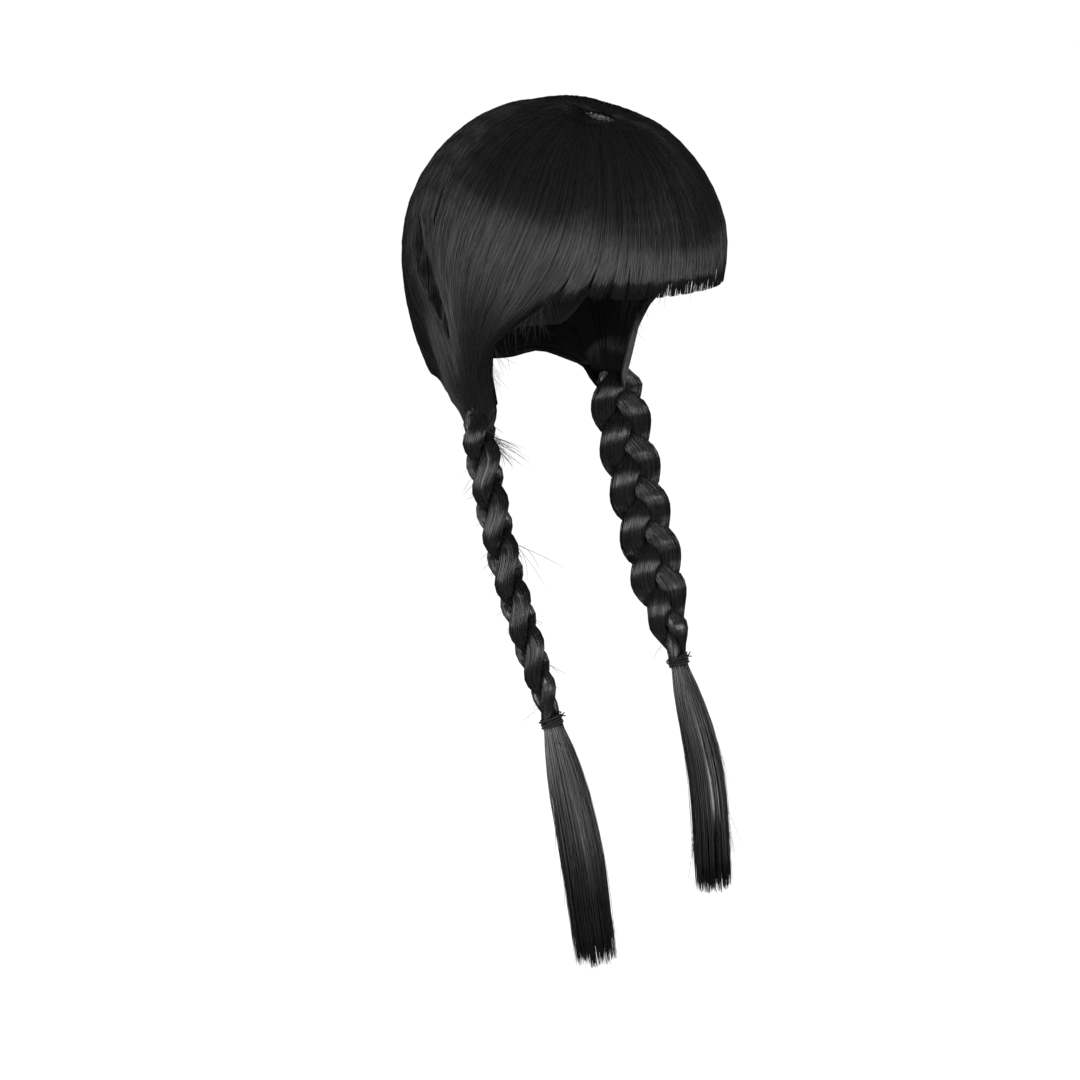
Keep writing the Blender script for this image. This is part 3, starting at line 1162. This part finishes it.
def hem_hairs(side, rng, count):
    """Short hairs along the front edge of the side hair, down the temple."""
    along = rng.uniform(corner_share - 0.04, 0.93, count)
    start, outwards = surface(side_section, 0.004 + 0 * along, along, -2.5 + 0 * along)
    onward, _ = surface(side_section, 0.004 + 0 * along, along + 0.02, -2.5 + 0 * along)
    ahead = unit(over_scalp(side_section.field(0 * along, along), 0 * along)
                 - over_scalp(side_section.field(0.1 + 0 * along, along), 0 * along))
    ways = unit(onward - start) * rng.uniform(0.6, 1, (count, 1)) + ahead * rng.uniform(0.05, 0.9, (count, 1))
    return loose_arrays(*on_side(side, start, ways + 0.15 * outwards), rng.uniform(5, 15, count), rng, 0.2)


def plait_hairs(side, rng, count, low, high, turn_low, turn_high, longest):
    """Hairs that spring from a plait, between two lengths and two angles round it."""
    length = rng.uniform(low, high, count)
    angle = rng.uniform(turn_low, turn_high, count)
    middle, down, width, face = plait_frame(length)
    ray = width * np.cos(angle)[:, None] + face * np.sin(angle)[:, None]
    start = middle + ray * PLAIT_DEPTH * 0.42
    ways = ray + down * rng.uniform(0.2, 1.4, (count, 1))
    return loose_arrays(*on_side(side, start, ways), rng.uniform(0.3, 1, count) * longest, rng)


def tail_hairs(side, rng, count):
    below = rng.uniform(10, 120, count)
    angle = 2 * math.pi * rng.random(count)
    start, off = tail_points(below, 0.95 * np.cos(angle), 0.95 * np.sin(angle))
    ways = unit(off) * rng.uniform(0.02, 0.25, (count, 1)) + plait_frame(PLAIT_LENGTH + TAIL_START + below)[1]
    return loose_arrays(*on_side(side, start, ways), rng.uniform(12, 32, count), rng, 0.2, 0.05, 0.06)


def scatter():
    rng = np.random.default_rng(81)
    bodies = []
    for side in (-1, 1):
        bodies.append(hem_hairs(side, rng, 70 if side < 0 else 30))
        bodies.append(plait_hairs(side, rng, 60, 0, PLAIT_LENGTH, 0, 2 * math.pi, 9))
        bodies.append(tail_hairs(side, rng, 60))
    bodies.append(plait_hairs(-1, rng, 40, 24, 34, 0.9, 1.9, 17))
    bodies.append(plait_hairs(-1, rng, 5, 88, 92, 0.9, 1.5, 26))
    return make_piece("loose_hairs", *joined(*bodies), loose, "hair")


loose_hairs = scatter()
print("loose hairs:", loose_hairs["triangles"], "triangles")

# %% [markdown]
# ## The studio
# A pale floor and soft light, as in a catalogue. Black hair shows only what it reflects, so the
# lights are chosen for their reflections: two wide soft boxes, halfway up in front, draw the band
# of shine round the dome, and nothing hangs overhead, which keeps the top of the dome dark. The
# floor brightens what it faces in life; here it is kept out of the gloss, so that blacks stay black.

# %% Floor, world and lights
FLOOR_LEVEL = -1.0


def pale_floor():
    mesh = bpy.data.meshes.new("floor")
    half = 40.0
    mesh.from_pydata([(x, y, FLOOR_LEVEL) for x, y in ((-half, -half), (half, -half), (half, half), (-half, half))],
                     [], [(0, 1, 2, 3)])
    floor = bpy.data.objects.new("floor", mesh)
    bpy.context.scene.collection.objects.link(floor)
    material, _, shader = new_material("floor_paint", 0.9, specular=0.0)
    shader.inputs["Base Color"].default_value = (0.93, 0.93, 0.925, 1)
    mesh.materials.append(material)
    floor.visible_glossy = False
    floor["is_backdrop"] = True


def soft_box(name, azimuth, distance, width, low, high, radiance):
    """An upright soft box, between two levels, that faces the wig from some azimuth."""
    light = bpy.data.lights.new(name, "AREA")
    light.shape = "RECTANGLE"
    light.size, light.size_y = width, high - low
    light.energy = radiance * math.pi * width * (high - low)
    box = bpy.data.objects.new(name, light)
    way = on_sphere(math.radians(azimuth), 0, 1)
    box.location = way * distance + Vector((0, 0, (low + high) / 2))
    box.rotation_euler = (-way).to_track_quat("-Z", "Y").to_euler()
    bpy.context.scene.collection.objects.link(box)
    box.visible_camera = False
    return box


def studio_world():
    world = bpy.data.worlds.new("studio")
    bpy.context.scene.world = world
    world.use_nodes = True
    tree = world.node_tree
    rays = add(tree, "ShaderNodeLightPath")
    level = add(tree, "ShaderNodeMapRange", {"Value": rays.outputs["Is Glossy Ray"], "To Min": 1.1, "To Max": 0.03})
    tree.links.new(level.outputs[0], tree.nodes["Background"].inputs["Strength"])
    tree.nodes["Background"].inputs["Color"].default_value = (1, 1, 1, 1)


pale_floor()
studio_world()
soft_box("soft_box_side", -95, 1.2, 1.1, -0.55, 0.58, 3.4)
soft_box("soft_box_front", -10, 1.2, 1.2, -0.58, -0.01, 3.2)
bpy.context.scene.view_settings.view_transform = "Standard"
print("studio ready")

# %% [markdown]
# ## Sizes, and the end
# The dressed wig has to stay the size of its model. Both boxes are kept, so that they can be
# compared, and the last line checks that every piece hangs on the model and is called what it is.

# %% Keep the sizes and finish
sizes = {"model": [list(corner) for corner in model_box], "dressed": [list(corner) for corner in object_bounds()]}
for label, (low, high) in sizes.items():
    print(label, [round(value, 4) for value in low], [round(value, 4) for value in high])
